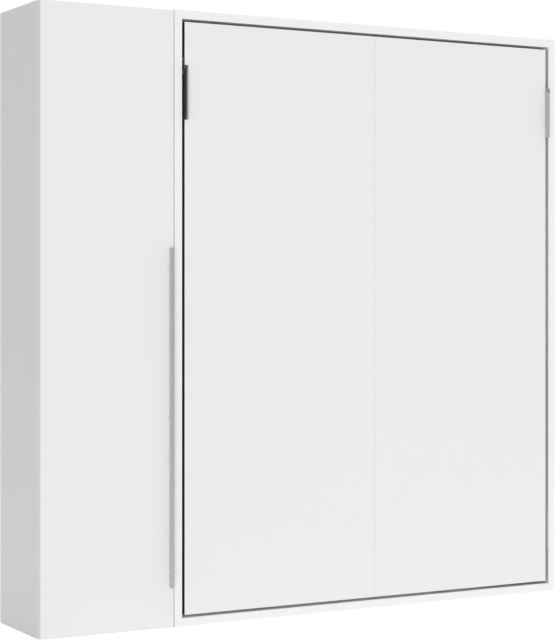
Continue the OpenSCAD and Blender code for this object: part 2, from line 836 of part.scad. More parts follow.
// Lower stud, which stays in the rod's eye and faces the arm plate
module strut_stud(side) {
    color(dark) in_bed() scale([side, 1, 1]) {
        bar_x(arm_out + rest_gap, strut_u + eye_w/2 + stud_end, stud_y, stud_low_z, stud_d);
        bar_x(arm_out + rest_gap, strut_u - eye_w/2 - rest_gap, stud_y, stud_low_z, stud_d + stud_step);
    }
}

module strut_stud_left() { strut_stud(-1); }

module strut_stud_right() { strut_stud(1); }

// ---- Desk ----

module desk_ledger() {
    color(white) in_desk() block([0, desk_y0, ledger_z1 - ledger_h], [ledger_t, desk_y1, ledger_z1]);
}

module desk_leaf() {
    color(white) in_desk() block([leaf_gap, desk_y0, leaf_z0], [ledger_t, desk_y1, leaf_z1]);
}

// One half of the long hinge: up is 1 for the leaf's half and -1 for the ledger's
module hinge_half(up, first) {
    difference() {
        union() {
            translate([ledger_t, desk_y0, axis_z + (up > 0 ? sheet_gap : -sheet_gap - sheet_h)])
                cube([sheet_t, desk_y1 - desk_y0, sheet_h]);
            for (k = [first:2:knuckle_count - 1]) {
                y0 = desk_y0 + k*knuckle_len + knuckle_play/2;
                y1 = desk_y0 + (k + 1)*knuckle_len - knuckle_play/2;
                bar_y(y0, y1, axis_s, axis_z, 2*knuckle_r);
                z0 = up > 0 ? axis_z : axis_z - knuckle_tab;
                translate([ledger_t, y0, z0]) cube([sheet_t, y1 - y0, knuckle_tab]);
            }
        }
        bar_y(desk_y0 - 1, desk_y1 + 1, axis_s, axis_z, hinge_pin_d + fit);
    }
}

module desk_hinge_fixed() { color(steel) in_desk() hinge_half(-1, 0); }

module desk_hinge_moving() { color(steel) in_desk() hinge_half(1, 1); }

module desk_hinge_pin() {
    color(steel) in_desk() bar_y(desk_y0, desk_y1, axis_s, axis_z, hinge_pin_d);
}

// Magnetic catch above the folded leaf, and its strike on the leaf's upper edge
module desk_catch() {
    color(plastic) in_desk() translate([0, (desk_y0 + desk_y1)/2, leaf_z1 + strike_t + catch_gap])
        block([0, -catch_half, 0], [catch_out, catch_half, catch_h]);
}

module desk_strike() {
    color(steel) in_desk() translate([0, (desk_y0 + desk_y1)/2, leaf_z1])
        block([leaf_gap + strike_in, -strike_half, 0], [ledger_t - strike_in, strike_half, strike_t]);
}

// Bent tube frame that hangs on the folded leaf and stands under the open one
module desk_leg() {
    half = (tube_y1 - tube_y0)/2;
    color(steel) in_desk() translate([tube_s, (tube_y0 + tube_y1)/2, 0]) {
        for (z = [tube_low_z, tube_top_z]) bar_y(-half + tube_bend, half - tube_bend, 0, z, desk_tube_d);
        for (side = [-1, 1]) {
            bar_z(tube_low_z + tube_bend, tube_top_z - tube_bend, 0, side*half, desk_tube_d);
            for (end = [-1, 1]) {
                bend_z = end > 0 ? tube_top_z - tube_bend : tube_low_z + tube_bend;
                translate([0, side*(half - tube_bend), bend_z]) scale([1, side, end])
                    rotate([90, 0, 90]) rotate_extrude(angle = 90)
                        translate([tube_bend, 0]) circle(d = desk_tube_d);
            }
        }
    }
}

// Saddles that hold the top of the tube frame under the leaf
module desk_leg_saddles() {
    half = saddle_d/2;
    ear = half + saddle_ear;
    color(dark) in_desk() for (y = [tube_y0 + saddle_in, tube_y1 - saddle_in - saddle_w])
        translate([0, y, tube_top_z]) difference() {
            union() {
                bar_y(0, saddle_w, tube_s, 0, saddle_d);
                block([ledger_t, 0, -half], [tube_s, saddle_w, half]);
                block([ledger_t, 0, -ear], [ledger_t + saddle_plate_t, saddle_w, ear]);
            }
            bar_y(-1, saddle_w + 1, tube_s, 0, desk_tube_d + fit);
            block([0, -1, -saddle_d], [ledger_t, saddle_w + 1, saddle_d]);
        }
}

// Cradle on the leaf that the folded frame's lower bar lies in
module desk_leg_rest() {
    h = desk_tube_d/2 + cradle_lip;
    color(plastic) in_desk() translate([0, (tube_y0 + tube_y1)/2, tube_low_z]) difference() {
        block([ledger_t, -cradle_half, -h], [tube_s - 1, cradle_half, h]);
        bar_y(-cradle_half - 1, cradle_half + 1, tube_s, 0, desk_tube_d + 2*rest_gap);
    }
}

closet_side_left();
closet_side_right();
closet_top();
closet_base();
closet_back();
fixed_shelf();
adjustable_shelves();
shelf_pins();
hinge_arms();
joining_bolts();
frame_side_left();
frame_side_right();
frame_top();
frame_base();
wall_rail_upper();
wall_rail_lower();
pivot_plates();
pivot_pins();
strut_anchors();
stop_blocks();
desk_ledger();
desk_hinge_fixed();
desk_hinge_pin();
desk_catch();
closet_door();
handle_bar();
handle_posts();
hinge_cups();
door_bumpers();
front_board_left();
front_board_right();
front_side_strips();
side_rail_left();
side_rail_right();
head_rail();
foot_rail();
centre_beam();
slats();
slat_holders();
arm_plates();
pivot_bushes();
mattress_hoop();
angle_brackets();
leg_brackets();
leg_pins();
leg_magnets();
leg_left();
leg_right();
strut_cylinder_left();
strut_cylinder_right();
strut_rod_left();
strut_rod_right();
strut_stud_left();
strut_stud_right();
desk_leaf();
desk_hinge_moving();
desk_strike();
desk_leg_saddles();
desk_leg_rest();
desk_leg();
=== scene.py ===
"""Wall bed in a white cabinet, with a tall closet on its left and a fold-down desk on its right side.

Metres, in the CAD frame: +X to the right, +Y to the wall, +Z up, the front faces -Y.
"""
import json
import math

import bmesh
import bpy
from mathutils import Matrix, Vector


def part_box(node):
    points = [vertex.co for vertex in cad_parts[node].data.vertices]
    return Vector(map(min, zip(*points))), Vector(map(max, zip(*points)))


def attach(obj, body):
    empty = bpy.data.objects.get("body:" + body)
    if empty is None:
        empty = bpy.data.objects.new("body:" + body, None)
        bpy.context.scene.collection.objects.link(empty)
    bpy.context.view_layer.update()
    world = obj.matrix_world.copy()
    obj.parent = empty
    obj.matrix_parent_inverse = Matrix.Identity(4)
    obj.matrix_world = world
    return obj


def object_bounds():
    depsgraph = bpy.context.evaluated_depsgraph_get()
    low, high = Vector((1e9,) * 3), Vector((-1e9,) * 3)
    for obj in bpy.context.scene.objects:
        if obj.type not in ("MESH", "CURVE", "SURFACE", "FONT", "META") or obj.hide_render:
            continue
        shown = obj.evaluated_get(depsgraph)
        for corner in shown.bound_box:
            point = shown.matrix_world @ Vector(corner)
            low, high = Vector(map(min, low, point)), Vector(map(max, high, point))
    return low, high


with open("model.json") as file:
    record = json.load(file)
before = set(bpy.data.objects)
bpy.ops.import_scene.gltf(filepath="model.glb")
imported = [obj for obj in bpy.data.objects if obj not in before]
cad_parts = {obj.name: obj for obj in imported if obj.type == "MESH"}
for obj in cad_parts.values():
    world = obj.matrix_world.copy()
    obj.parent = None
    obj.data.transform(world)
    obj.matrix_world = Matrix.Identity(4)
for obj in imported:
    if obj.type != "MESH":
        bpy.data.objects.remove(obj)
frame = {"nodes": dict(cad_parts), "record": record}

cad_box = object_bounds()
nodes = frame["nodes"]
scene = bpy.context.scene

FLOAT, COLOUR, VECTOR = "NodeSocketFloat", "NodeSocketColor", "NodeSocketVector"
PLACE = (VECTOR, (0, 0, 0))      # a group's input for the place that it shades
QUARTER = math.pi/2


# ---------------------------------------------------------------- places, from the CAD's own boxes

MM = 0.001
door_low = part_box("closet_door")[0]
unit_corner = Vector((door_low.x, door_low.y, 0.0))
base_low, base_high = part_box("frame_base")
bed_middle = (base_low.x + base_high.x)/2
unit_height = cad_box[1].z

TO_RIGHT, TO_LEFT, TO_BACK = Vector((1, 0, 0)), Vector((-1, 0, 0)), Vector((0, 1, 0))
UP, DOWN = Vector((0, 0, 1)), Vector((0, 0, -1))


class Solid:
    """One separate solid of a CAD node, by the corners of its box."""

    def __init__(self, points):
        self.low = Vector(min(point[axis] for point in points) for axis in range(3))
        self.high = Vector(max(point[axis] for point in points) for axis in range(3))
        self.middle = (self.low + self.high)/2
        self.outward = TO_LEFT if self.middle.x < bed_middle else TO_RIGHT    # away from the bed's middle
        self.inner_x, self.outer_x = sorted((self.low.x, self.high.x), key=lambda x: abs(x - bed_middle))


def solids(node):
    """The separate solids of a CAD node, from the lowest to the highest."""
    shape = bmesh.new()
    shape.from_mesh(nodes[node].data)
    bmesh.ops.remove_doubles(shape, verts=shape.verts, dist=1e-6)
    found, seen = [], set()
    for start in shape.verts:
        if start in seen:
            continue
        seen.add(start)
        members = [start]
        for vert in members:
            for edge in vert.link_edges:
                other = edge.other_vert(vert)
                if other not in seen:
                    seen.add(other)
                    members.append(other)
        found.append(Solid([vert.co.copy() for vert in members]))
    shape.free()
    return sorted(found, key=lambda solid: tuple(round(solid.middle[axis], 4) for axis in (2, 1, 0)))


# ---------------------------------------------------------------- camera

SENSOR_MM = 36                   # along the photograph's long side
LENS_MM = 103.7
VIEW_TURN = math.radians(28.93)  # the camera stands to the left of the front's normal
VIEW_PLACE = Vector((-1.0654, -2.6926, 0.5477))    # from the closet's front left foot, in unit heights
PHOTO_LONG_SIDE = 640
PHOTO_HORIZON = 289              # row of the horizon in the photograph


def make_camera():
    """A level camera at the photograph's place, shifted to its horizon."""
    data = bpy.data.cameras.new("camera")
    data.lens = LENS_MM
    data.sensor_width = SENSOR_MM
    data.shift_y = -(PHOTO_LONG_SIDE/2 - PHOTO_HORIZON)/PHOTO_LONG_SIDE
    data.clip_end = 200
    camera = bpy.data.objects.new("camera", data)
    camera.location = unit_corner + unit_height*VIEW_PLACE
    camera.rotation_euler = (QUARTER, 0, -VIEW_TURN)
    scene.collection.objects.link(camera)
    scene.camera = camera
    scene.view_settings.view_transform = "Standard"
    scene.view_settings.look = "None"


# ---------------------------------------------------------------- node helpers

def put(tree, node, name, value):
    """Sets one input of a node, or links it where the value is a socket."""
    socket = node.inputs[name.replace("_", " ")] if isinstance(name, str) else node.inputs[name]
    if isinstance(value, bpy.types.NodeSocket):
        tree.links.new(value, socket)
    else:
        socket.default_value = value


def add(tree, kind, settings=(), **values):
    """A node of that kind, with its settings and its named inputs."""
    node = tree.nodes.new(kind)
    for name, value in dict(settings).items():
        setattr(node, name, value)
    for name, value in values.items():
        put(tree, node, name, value)
    return node


def reckon(tree, operation, *values, clamp=False):
    """One Math node's result."""
    node = add(tree, "ShaderNodeMath", {"operation": operation, "use_clamp": clamp})
    for place, value in enumerate(values):
        put(tree, node, place, value)
    return node.outputs[0]


def reckon_vector(tree, operation, a, b=None, result=0):
    """One Vector Math node's result. A scale takes a number as b."""
    node = add(tree, "ShaderNodeVectorMath", {"operation": operation})
    put(tree, node, 0, a)
    if b is not None:
        put(tree, node, 3 if operation == "SCALE" else 1, b)
    return node.outputs[result]


def mix_colours(tree, factor, a, b):
    """The first colour, or the second where the factor is one."""
    node = add(tree, "ShaderNodeMix", {"data_type": "RGBA"})
    for place, value in ((0, factor), (6, a), (7, b)):
        put(tree, node, place, value)
    return node.outputs[2]


def centred(tree, value, amount):
    """A value around a half, turned into a change around nought."""
    return reckon(tree, "MULTIPLY", reckon(tree, "SUBTRACT", value, 0.5), amount)


def shifted(tree, colour, change):
    """A colour made lighter or darker by a change around nought."""
    return reckon_vector(tree, "SCALE", colour, reckon(tree, "ADD", change, 1.0))


def new_group(name, inputs, outputs):
    """An empty shader node group with named sockets. Returns the tree, what it is given and what it gives."""
    tree = bpy.data.node_groups.new(name, "ShaderNodeTree")
    for label, (kind, default) in inputs.items():
        tree.interface.new_socket(label, in_out="INPUT", socket_type=kind).default_value = default
    for label, kind in outputs.items():
        tree.interface.new_socket(label, in_out="OUTPUT", socket_type=kind)
    given = tree.nodes.new("NodeGroupInput").outputs
    gives = tree.nodes.new("NodeGroupOutput").inputs
    return tree, given, gives


def give(tree, gives, **results):
    """Links the results of a group to its named outputs."""
    for label, socket in results.items():
        tree.links.new(socket, gives[label.replace("_", " ")])


# ---------------------------------------------------------------- shared effects

def make_soft_edges():
    """Rounded-looking arrises, and a mask of where they are."""
    tree, given, gives = new_group("soft_edges", {"Radius": (FLOAT, 0.001)},
                                   {"Normal": VECTOR, "Edge": FLOAT})
    rounded = add(tree, "ShaderNodeBevel", {"samples": 4}, Radius=given["Radius"]).outputs[0]
    flat = add(tree, "ShaderNodeNewGeometry").outputs["True Normal"]
    likeness = reckon_vector(tree, "DOT_PRODUCT", rounded, flat, 1)
    gain = 3.0
    edge = reckon(tree, "MULTIPLY", reckon(tree, "SUBTRACT", 1.0, likeness), gain, clamp=True)
    give(tree, gives, Normal=rounded, Edge=edge)
    return tree


def make_dust():
    """Dust that settles on what faces up, thicker here and there."""
    tree, given, gives = new_group(
        "dust", {"Vector": PLACE, "Normal": (VECTOR, (0, 0, 1)), "Amount": (FLOAT, 0.1)},
        {"Dust": FLOAT})
    up = add(tree, "ShaderNodeSeparateXYZ", Vector=given["Normal"]).outputs[2]
    cloud = add(tree, "ShaderNodeTexNoise", Vector=given["Vector"], Scale=24.0, Detail=6.0, Roughness=0.7)
    level = reckon(tree, "MULTIPLY", reckon(tree, "MAXIMUM", up, 0.0), cloud.outputs[0])
    give(tree, gives, Dust=reckon(tree, "MULTIPLY", level, given["Amount"], clamp=True))
    return tree


def make_coated_board():
    """Matt coated board: a fine rolled texture, and a very slight change of tone from place to place."""
    tree, given, gives = new_group(
        "coated_board",
        {"Vector": PLACE, "Tone": (COLOUR, (0.8, 0.8, 0.8, 1)), "Tone Change": (FLOAT, 0.02),
         "Roughness": (FLOAT, 0.45), "Peel Size": (FLOAT, 900.0)},
        {"Colour": COLOUR, "Roughness": FLOAT, "Height": FLOAT})
    peel = add(tree, "ShaderNodeTexNoise", Vector=given["Vector"], Scale=given["Peel Size"], Detail=2.0)
    broad = add(tree, "ShaderNodeTexNoise", Vector=given["Vector"], Scale=1.7, Detail=3.0)
    change = centred(tree, broad.outputs[0], given["Tone Change"])
    give(tree, gives, Colour=shifted(tree, given["Tone"], change),
         Roughness=reckon(tree, "ADD", given["Roughness"], centred(tree, peel.outputs[0], 0.12)),
         Height=peel.outputs[0])
    return tree


def make_brushing():
    """Fine lines along one axis of a metal piece: they vary its tone, roughness and height."""
    tree, given, gives = new_group(
        "brushing",
        {"Vector": PLACE, "Tone": (COLOUR, (0.6, 0.6, 0.6, 1)), "Roughness": (FLOAT, 0.2),
         "Change": (FLOAT, 0.1), "Stretch": (VECTOR, (1, 1, 0.02)), "Line Size": (FLOAT, 2500.0)},
        {"Colour": COLOUR, "Roughness": FLOAT, "Height": FLOAT})
    stretched = reckon_vector(tree, "MULTIPLY", given["Vector"], given["Stretch"])
    lines = add(tree, "ShaderNodeTexNoise", Vector=stretched, Scale=given["Line Size"], Detail=3.0)
    smears = add(tree, "ShaderNodeTexNoise", Vector=given["Vector"], Scale=18.0, Detail=5.0)
    change = centred(tree, lines.outputs[0], given["Change"])
    both = reckon(tree, "ADD", change, centred(tree, smears.outputs[0], 0.1))
    give(tree, gives, Colour=shifted(tree, given["Tone"], change),
         Roughness=reckon(tree, "ADD", given["Roughness"], both, clamp=True), Height=lines.outputs[0])
    return tree


def make_zinc_bloom():
    """Zinc plating: small crystals of slightly different tone."""
    tree, given, gives = new_group(
        "zinc_bloom",
        {"Vector": PLACE, "Tone": (COLOUR, (0.6, 0.6, 0.62, 1)), "Roughness": (FLOAT, 0.3),
         "Crystal Size": (FLOAT, 480.0), "Change": (FLOAT, 0.05)},
        {"Colour": COLOUR, "Roughness": FLOAT, "Height": FLOAT})
    cells = add(tree, "ShaderNodeTexVoronoi", Vector=given["Vector"], Scale=given["Crystal Size"])
    tone = add(tree, "ShaderNodeSeparateColor", Color=cells.outputs["Color"]).outputs[0]
    cloud = add(tree, "ShaderNodeTexNoise", Vector=given["Vector"], Scale=14.0, Detail=3.0)
    change = reckon(tree, "ADD", centred(tree, tone, given["Change"]), centred(tree, cloud.outputs[0], 0.1))
    give(tree, gives, Colour=shifted(tree, given["Tone"], change),
         Roughness=reckon(tree, "ADD", given["Roughness"], change, clamp=True), Height=cloud.outputs[0])
    return tree


def make_wood_grain():
    """Long figure with pores. The vector's third axis runs along the grain."""
    tree, given, gives = new_group(
        "wood_grain",
        {"Vector": PLACE, "Light Wood": (COLOUR, (0.7, 0.55, 0.36, 1)),
         "Dark Wood": (COLOUR, (0.45, 0.3, 0.17, 1)), "Figure Size": (FLOAT, 22.0), "Roughness": (FLOAT, 0.5),
         "Board Change": (FLOAT, 0.15)},
        {"Colour": COLOUR, "Roughness": FLOAT, "Height": FLOAT})
    long_way = reckon_vector(tree, "MULTIPLY", given["Vector"], (1.0, 1.0, 0.06))
    figure = add(tree, "ShaderNodeTexNoise", Vector=long_way, Scale=given["Figure Size"], Detail=5.0,
                 Roughness=0.6, Distortion=0.6)
    rings = add(tree, "ShaderNodeTexWave", Vector=long_way, Scale=9.0, Distortion=7.0, Detail=3.0)
    pores = add(tree, "ShaderNodeTexNoise", Vector=long_way, Scale=900.0, Detail=1.0)
    across_grain = reckon_vector(tree, "MULTIPLY", given["Vector"], (1, 1, 0))
    boards = add(tree, "ShaderNodeTexNoise", Vector=across_grain, Scale=9.0, Detail=0.0)
    pore_level, contrast, middle = 0.66, 2.2, 0.4
    figure_share, ring_share, pore_share = 0.6, 0.35, 0.18
    pore = reckon(tree, "GREATER_THAN", pores.outputs[0], pore_level)
    bold = reckon(tree, "ADD", centred(tree, figure.outputs[0], contrast), middle, clamp=True)
    mix = reckon(tree, "ADD", reckon(tree, "MULTIPLY", bold, figure_share),
                 reckon(tree, "MULTIPLY", rings.outputs[1], ring_share))
    mix = reckon(tree, "ADD", mix, reckon(tree, "MULTIPLY", pore, pore_share), clamp=True)
    tone = mix_colours(tree, mix, given["Light Wood"], given["Dark Wood"])
    change = centred(tree, boards.outputs[0], given["Board Change"])
    give(tree, gives, Colour=shifted(tree, tone, change),
         Roughness=reckon(tree, "ADD", given["Roughness"], reckon(tree, "MULTIPLY", pore, 0.15)),
         Height=reckon(tree, "SUBTRACT", reckon(tree, "MULTIPLY", figure.outputs[0], 0.3), pore))
    return tree


def make_sheet_edge():
    """A mask of a sheet's narrow edges. Across is the axis of the sheet's thickness."""
    tree, given, gives = new_group("sheet_edge", {"Across": (VECTOR, (0, 0, 1))}, {"Edge": FLOAT})
    normal = add(tree, "ShaderNodeTexCoord").outputs["Normal"]
    lean = reckon(tree, "ABSOLUTE", reckon_vector(tree, "DOT_PRODUCT", normal, given["Across"], 1))
    face_from = 0.5
    give(tree, gives, Edge=reckon(tree, "LESS_THAN", lean, face_from))
    return tree


def make_ply_layers():
    """Light and dark layers of plywood. Through is how deep a place lies in the sheet."""
    tree, given, gives = new_group(
        "ply_layers",
        {"Through": (FLOAT, 0.0), "Layer": (FLOAT, 0.0014), "Face Colour": (COLOUR, (0.7, 0.55, 0.36, 1)),
         "Dark Layer": (COLOUR, (0.4, 0.27, 0.15, 1))},
        {"Colour": COLOUR})
    layer = reckon(tree, "MODULO", reckon(tree, "DIVIDE", given["Through"], given["Layer"]), 2.0)
    dark = reckon(tree, "GREATER_THAN", reckon(tree, "ABSOLUTE", layer), 1.0)
    dark_share = reckon(tree, "MULTIPLY", dark, 0.7)
    give(tree, gives, Colour=mix_colours(tree, dark_share, given["Face Colour"], given["Dark Layer"]))
    return tree


def make_powder_grain():
    """Powder coat or moulded plastic: a fine pebbled skin."""
    tree, given, gives = new_group(
        "powder_grain",
        {"Vector": PLACE, "Tone": (COLOUR, (0.1, 0.1, 0.1, 1)), "Roughness": (FLOAT, 0.5),
         "Speckle": (FLOAT, 0.15), "Grain Size": (FLOAT, 1400.0)},
        {"Colour": COLOUR, "Roughness": FLOAT, "Height": FLOAT})
    pebbles = add(tree, "ShaderNodeTexVoronoi", Vector=given["Vector"], Scale=given["Grain Size"])
    cloud = add(tree, "ShaderNodeTexNoise", Vector=given["Vector"], Scale=35.0, Detail=4.0)
    change = centred(tree, cloud.outputs[0], given["Speckle"])
    give(tree, gives, Colour=shifted(tree, given["Tone"], change),
         Roughness=reckon(tree, "ADD", given["Roughness"], change), Height=pebbles.outputs[0])
    return tree


soft_edges = make_soft_edges()
dust = make_dust()
coated_board = make_coated_board()
brushing = make_brushing()
zinc_bloom = make_zinc_bloom()
wood_grain = make_wood_grain()
sheet_edge = make_sheet_edge()
ply_layers = make_ply_layers()
powder_grain = make_powder_grain()


# ---------------------------------------------------------------- materials

def grey(value):
    return (value, value, value, 1.0)


DUST_COLOUR = (0.55, 0.53, 0.5, 1)
DUST_ROUGHNESS = 0.6             # added where the dust lies thickest
EDGING_COLOUR = grey(0.01)
ARRIS_SHARE = 0.6                # of the arris colour, painted highlight and wear, on an arris
COAT_ROUGHNESS = 0.25


def use(tree, group, **values):
    """A group placed in a material, with its own values."""
    return add(tree, "ShaderNodeGroup", {"node_tree": group}, **values).outputs


def new_finish(name, effect, relief, depth, edge_tone, edge_radius=0.0006, metallic=0.0, coat=0.0, dusty=0.05,
               grain_turn=None, across=None, edge_band_and_side_shade=None, bow=None, dark_from=None, **values):
    """A material that takes colour, roughness and bump from a shared effect, and its arrises from soft_edges.

    The fifth argument is the colour mixed onto the arrises: a painted highlight on the white boards and
    most metals, wear on the powder coats and plastics, lighter edges on the wood. grain_turn lays the grain
    along another axis. across is a sheet's axis of thickness: its narrow edges show layers of ply, or the
    colour given for them: an edge band on the boards, painted shade on the sides of the handle bar.
    From dark_from on, out from the bed's middle, the dark edging wraps round the arris.
    """
    material = bpy.data.materials.new(name)
    material.use_nodes = True
    tree = material.node_tree
    shader = tree.nodes["Principled BSDF"]
    coordinates = add(tree, "ShaderNodeTexCoord").outputs
    place = coordinates["Object"]
    along = place
    if grain_turn:
        mapping = add(tree, "ShaderNodeMapping", Vector=place)
        mapping.inputs["Rotation"].default_value = grain_turn
        along = mapping.outputs[0]
    skin = use(tree, effect, Vector=along, **values)
    arrises = use(tree, soft_edges, Radius=edge_radius)
    colour = skin["Colour"]
    if across:
        through = reckon_vector(tree, "DOT_PRODUCT", place, across, 1)
        if bow:
            through = reckon(tree, "SUBTRACT", through, bow(tree, place))
        # the narrow faces take the given colour: an edge band on the boards, painted shade on the handle
        # bar's sides
        narrow = edge_band_and_side_shade or use(tree, ply_layers, Through=through, Face_Colour=colour)["Colour"]
        colour = mix_colours(tree, use(tree, sheet_edge, Across=across)["Edge"], colour, narrow)
    # the arrises are mixed towards the arris colour: a painted highlight on the boards and most metals, wear
    # on the rest
    colour = mix_colours(tree, reckon(tree, "MULTIPLY", arrises["Edge"], ARRIS_SHARE), colour, edge_tone)
    if dark_from:
        across_bed = add(tree, "ShaderNodeSeparateXYZ", Vector=place).outputs[0]
        out = reckon(tree, "ABSOLUTE", reckon(tree, "SUBTRACT", across_bed, bed_middle))
        colour = mix_colours(tree, reckon(tree, "GREATER_THAN", out, dark_from), colour, EDGING_COLOUR)
    settled = use(tree, dust, Vector=place, Normal=coordinates["Normal"], Amount=dusty)["Dust"]
    colour = mix_colours(tree, settled, colour, DUST_COLOUR)
    rough = reckon(tree, "ADD", skin["Roughness"], reckon(tree, "MULTIPLY", settled, DUST_ROUGHNESS),
                   clamp=True)
    bump = add(tree, "ShaderNodeBump", Strength=relief, Distance=depth, Height=skin["Height"],
               Normal=arrises["Normal"])
    put(tree, shader, "Base Color", colour)
    put(tree, shader, "Roughness", rough)
    put(tree, shader, "Normal", bump.outputs[0])
    put(tree, shader, "Metallic", metallic)
    put(tree, shader, "Coat Weight", coat)
    put(tree, shader, "Coat Roughness", COAT_ROUGHNESS)
    return material


slats_low, slats_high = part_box("slats")
SLAT_HALF = (slats_high.x - slats_low.x)/2
SLAT_BOW = 10*MM


def slat_bow(tree, place):
    """How far a slat has risen above its ends at a place."""
    across = add(tree, "ShaderNodeSeparateXYZ", Vector=place).outputs[0]
    share = reckon(tree, "DIVIDE", reckon(tree, "SUBTRACT", across, bed_middle), SLAT_HALF)
    fallen = reckon(tree, "POWER", share, 2.0)
    return reckon(tree, "MULTIPLY", reckon(tree, "SUBTRACT", 1.0, fallen), SLAT_BOW)


BIRCH = {"Light_Wood": (0.70, 0.55, 0.37, 1), "Dark_Wood": (0.50, 0.35, 0.20, 1), "Figure_Size": 18.0,
         "Roughness": 0.45}
BEECH = {"Light_Wood": (0.76, 0.58, 0.40, 1), "Dark_Wood": (0.60, 0.42, 0.25, 1), "Figure_Size": 30.0,
         "Roughness": 0.38}
ALONG_X, THROUGH_X, THROUGH_Y, THROUGH_Z = (0, QUARTER, 0), (1, 0, 0), (0, 1, 0), (0, 0, 1)

BAND = (0.86, 0.85, 0.852, 1)


def white_board(name, across, **more):
    """White coated board with its edges banded a touch lighter."""
    # grey(0.86) on the arrises is a painted highlight
    return new_finish(name, coated_board, 0.12, 0.0002, grey(0.86), 0.0008, dusty=0.02, across=across,
                      edge_band_and_side_shade=BAND, Tone=(0.82, 0.81, 0.812, 1), Tone_Change=0.012, Roughness=0.42, **more)


upright_board = white_board("white_upright", THROUGH_X)
front_board = white_board("white_front", THROUGH_Y)
flat_board = white_board("white_shelf", THROUGH_Z)
front_half_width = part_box("front_board_right")[1].x - bed_middle
bed_front = white_board("white_bed_front", THROUGH_Y, dark_from=front_half_width - MM)

# here and below, the fifth argument is the arris colour: a painted highlight on the metals, wear on the
# powder coats and plastics, lighter edges on the wood
finishes = {
    "white_board": front_board,
    "satin_metal": new_finish("satin_metal", brushing, 0.06, 0.0001, grey(0.8), metallic=1.0, dusty=0.03,
                              Tone=(0.67, 0.67, 0.675, 1), Roughness=0.22, Change=0.1),
    "zinc_metal": new_finish("zinc_metal", zinc_bloom, 0.1, 0.0001, grey(0.8), metallic=1.0,
                             Tone=(0.60, 0.61, 0.63, 1), Roughness=0.3),
    "dark_steel": new_finish("dark_steel", powder_grain, 0.25, 0.0002, grey(0.10), dusty=0.08,
                             Tone=(0.03, 0.03, 0.033, 1), Roughness=0.42, Speckle=0.2),
    "grey_tube": new_finish("grey_tube", powder_grain, 0.2, 0.0002, grey(0.5), coat=0.3,
                            Tone=(0.36, 0.37, 0.38, 1), Roughness=0.35, Speckle=0.1),
    "rail_wood": new_finish("rail_wood", wood_grain, 0.2, 0.0003, (0.74, 0.6, 0.42, 1), coat=0.2,
                            across=THROUGH_X, **BIRCH),
    "slat_wood": new_finish("slat_wood", wood_grain, 0.15, 0.0002, (0.8, 0.64, 0.46, 1), coat=0.3,
                            grain_turn=ALONG_X, across=THROUGH_Y, bow=slat_bow, Board_Change=0.35,
                            **BEECH),
    "bush_bronze": new_finish("bush_bronze", brushing, 0.1, 0.0001, (0.7, 0.5, 0.25, 1), metallic=1.0,
                              Tone=(0.55, 0.38, 0.18, 1), Roughness=0.35, Change=0.15, Stretch=(0.02, 1, 1)),
    "grey_plastic": new_finish("grey_plastic", powder_grain, 0.3, 0.0002, grey(0.3), dusty=0.08,
                               Tone=(0.20, 0.20, 0.21, 1), Roughness=0.5, Speckle=0.08),
}
# the handle bar's sides are painted darker than its front, as painted shade, and its arrises a touch darker
# too
handle_metal = new_finish("handle_metal", brushing, 0.02, 0.0001, grey(0.45), 0.0003, metallic=1.0,
                          dusty=0.02, across=THROUGH_Y, edge_band_and_side_shade=(0.50, 0.50, 0.505, 1),
                          Tone=(0.67, 0.67, 0.675, 1), Roughness=0.24, Change=0.04)
zinc = finishes["zinc_metal"]
grip_metal = new_finish("grip_metal", brushing, 0.05, 0.0001, grey(0.7), metallic=1.0, dusty=0.02,
                        Tone=(0.50, 0.50, 0.505, 1), Roughness=0.05, Change=0.03)
cross_ply = new_finish("cross_ply", wood_grain, 0.2, 0.0003, (0.74, 0.6, 0.42, 1), coat=0.2,
                       grain_turn=ALONG_X, across=THROUGH_Z, **BIRCH)
beam_pine = new_finish("beam_pine", wood_grain, 0.2, 0.0003, (0.8, 0.65, 0.42, 1), coat=0.1,
                       Light_Wood=(0.78, 0.62, 0.38, 1), Dark_Wood=(0.6, 0.42, 0.2, 1), Figure_Size=12.0,
                       Roughness=0.5)
black_plastic = new_finish("black_plastic", powder_grain, 0.3, 0.0002, grey(0.08), dusty=0.08,
                           Tone=(0.022, 0.022, 0.024, 1), Roughness=0.45, Speckle=0.08)
black_edging = new_finish("black_edging", powder_grain, 0.2, 0.0001, grey(0.02), dusty=0.0,
                          Tone=(0.008, 0.008, 0.009, 1), Roughness=0.6, Speckle=0.1)
bright_rod = new_finish("bright_rod", brushing, 0.03, 0.0001, grey(0.9), metallic=1.0, dusty=0.0,
                        Tone=(0.78, 0.78, 0.79, 1), Roughness=0.1, Change=0.04, Stretch=(1, 1, 1))
dim_steel = new_finish("dim_steel", brushing, 0.05, 0.0001, grey(0.4), metallic=1.0, dusty=0.03,
                       Tone=(0.27, 0.27, 0.275, 1), Roughness=0.3, Change=0.08)
white_cap = new_finish("white_cap", powder_grain, 0.15, 0.0001, grey(0.8), dusty=0.02,
                       Tone=(0.82, 0.81, 0.805, 1), Roughness=0.4, Speckle=0.03)

OWN_FINISH = {
    bed_front: ("front_board_left", "front_board_right"),
    upright_board: ("closet_side_left", "closet_side_right", "frame_side_left", "frame_side_right",
                    "desk_leaf", "desk_ledger"),
    flat_board: ("closet_top", "closet_base", "fixed_shelf", "adjustable_shelves", "frame_top", "frame_base"),
    handle_metal: ("handle_bar",),
    grip_metal: ("leg_left", "leg_right"),
    cross_ply: ("head_rail", "foot_rail"),
    beam_pine: ("centre_beam",),
    black_plastic: ("slat_holders", "stop_blocks"),
    black_edging: ("front_side_strips",),
    bright_rod: ("strut_rod_left", "strut_rod_right", "pivot_pins"),
    dim_steel: ("leg_pins",),
    finishes["grey_tube"]: ("pivot_plates",),
    white_cap: ("leg_magnets", "handle_posts"),
}


